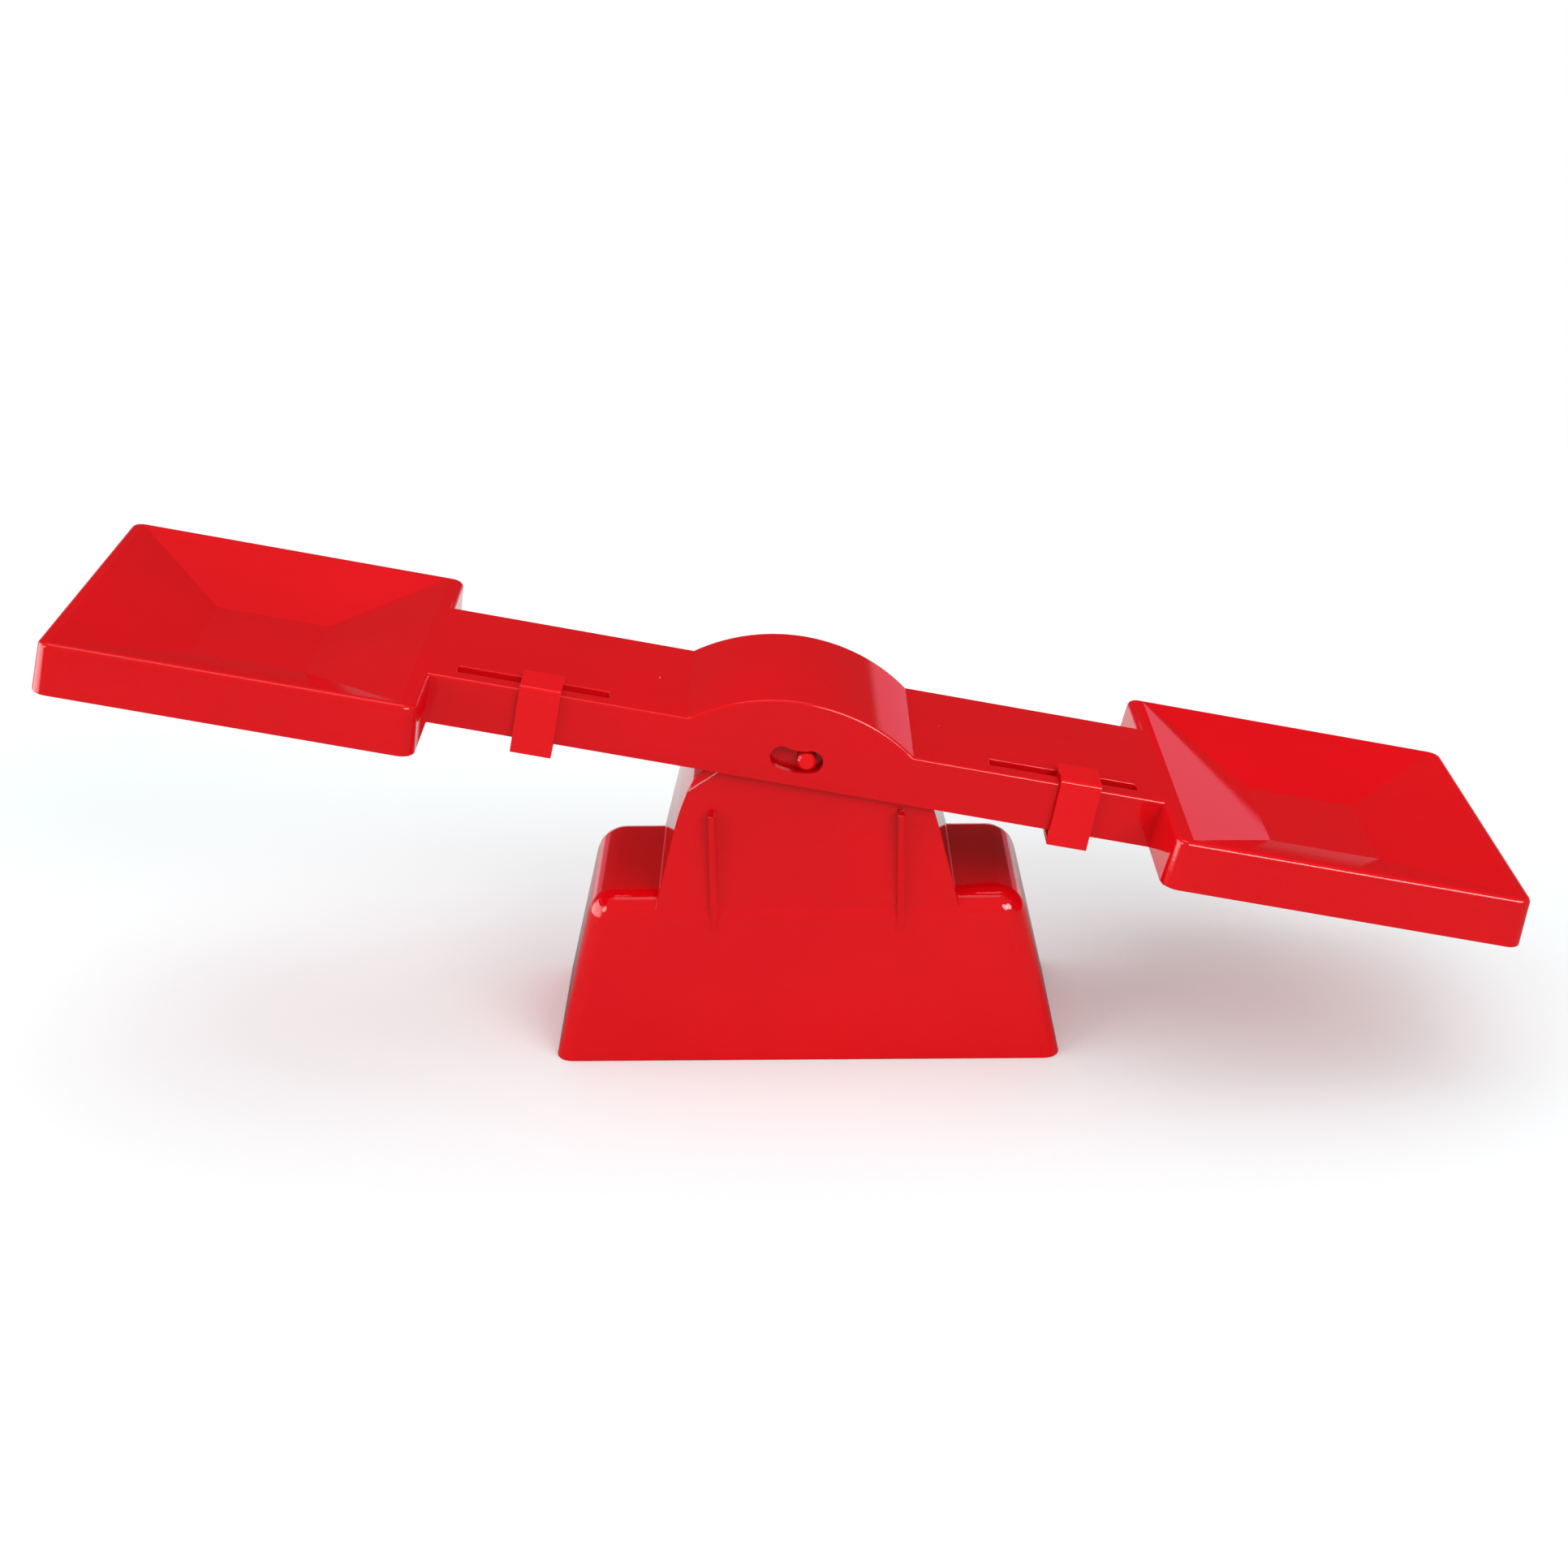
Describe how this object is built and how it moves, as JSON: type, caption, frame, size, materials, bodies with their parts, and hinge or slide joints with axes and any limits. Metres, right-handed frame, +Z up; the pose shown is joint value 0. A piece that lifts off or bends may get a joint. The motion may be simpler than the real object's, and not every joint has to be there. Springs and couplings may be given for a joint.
{
  "type": "toy balance scale",
  "caption": "Toy pan balance: a moulded beam with a square dished pan at each end rocks on the crest of a hollow stand, with sliding riders to trim it level.",
  "frame": {"origin": "on the table, under the middle of the tilted part's length, in the plane that splits the stand front from back", "axes": "+X along the beam towards the lowered pan, +Y away from the side with the riders, +Z up"},
  "size_m": [0.4254, 0.115, 0.1457],
  "materials": {
    "red_body": "moulded red polypropylene, semi-gloss, faint flow variation",
    "bright_red": "moulded brighter red plastic, semi-gloss"
  },
  "bodies": {
    "stand": {"base": "red_body", "pivot_pin": "bright_red"},
    "beam": {"beam": "red_body"},
    "rider_left": {"rider_left": "bright_red"},
    "rider_right": {"rider_right": "bright_red"}
  },
  "joints": [
    {"name": "beam_tilt", "type": "hinge", "parent": "stand", "child": "beam", "pos_m": [0.00361, 0, 0.1128], "axis": [0, 1, 0], "range_deg": [-26.1, 3.9]},
    {"name": "rider_left_slide", "type": "slide", "parent": "beam", "child": "rider_left", "axis": [0.9813, 0, -0.1925], "range_m": [-0.0185, 0.0135]},
    {"name": "rider_right_slide", "type": "slide", "parent": "beam", "child": "rider_right", "axis": [0.9813, 0, -0.1925], "range_m": [-0.0203, 0.0117]}
  ]
}
